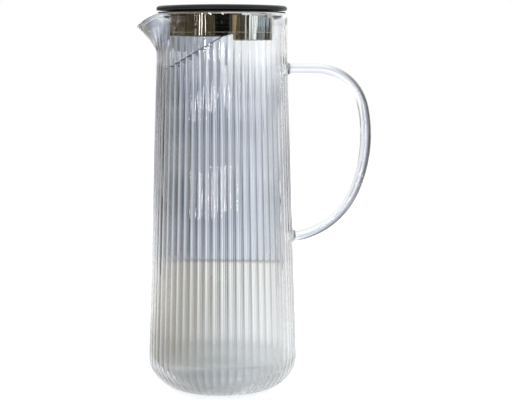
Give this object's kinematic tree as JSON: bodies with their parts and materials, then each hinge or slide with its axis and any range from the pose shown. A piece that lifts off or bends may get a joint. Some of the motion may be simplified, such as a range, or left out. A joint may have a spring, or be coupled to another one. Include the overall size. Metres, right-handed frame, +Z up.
{
  "type": "glass pitcher with lid",
  "caption": "Tall ribbed glass jug with a pulled spout and a rod handle, closed by a lift-off lid with a steel sleeve and a fold-down strainer leaf.",
  "frame": {"origin": "middle of the flat foot that the jug stands on, on the jug's axis", "axes": "+Z up along the jug's axis, +X towards the handle, -X towards the spout, Y across"},
  "size_m": [0.1582, 0.1012, 0.2621],
  "materials": {
    "clear_glass": "clear blown glass with shallow upright ribs",
    "black_plastic": "satin black moulded plastic",
    "black_silicone": "smooth black silicone",
    "polished_steel": "polished stainless sheet",
    "plain_steel": "plain stainless"
  },
  "bodies": {
    "jug": {"glass_body": "clear_glass", "glass_handle": "clear_glass"},
    "lid": {"lid_cap": "black_plastic", "lid_collar": "black_plastic", "seal_ring": "black_silicone", "steel_sleeve": "polished_steel", "cap_screws": "plain_steel", "hinge_pin": "plain_steel"},
    "leaf": {"strainer_leaf": "plain_steel"}
  },
  "joints": [
    {"name": "lid_lift", "type": "slide", "parent": "jug", "child": "lid", "axis": [0, 0, 1], "range_m": [0, 0.08]},
    {"name": "leaf_fold", "type": "hinge", "parent": "lid", "child": "leaf", "pos_m": [0.0099, 0, 0.2419], "axis": [0, -1, 0], "range_deg": [0, 60]}
  ]
}
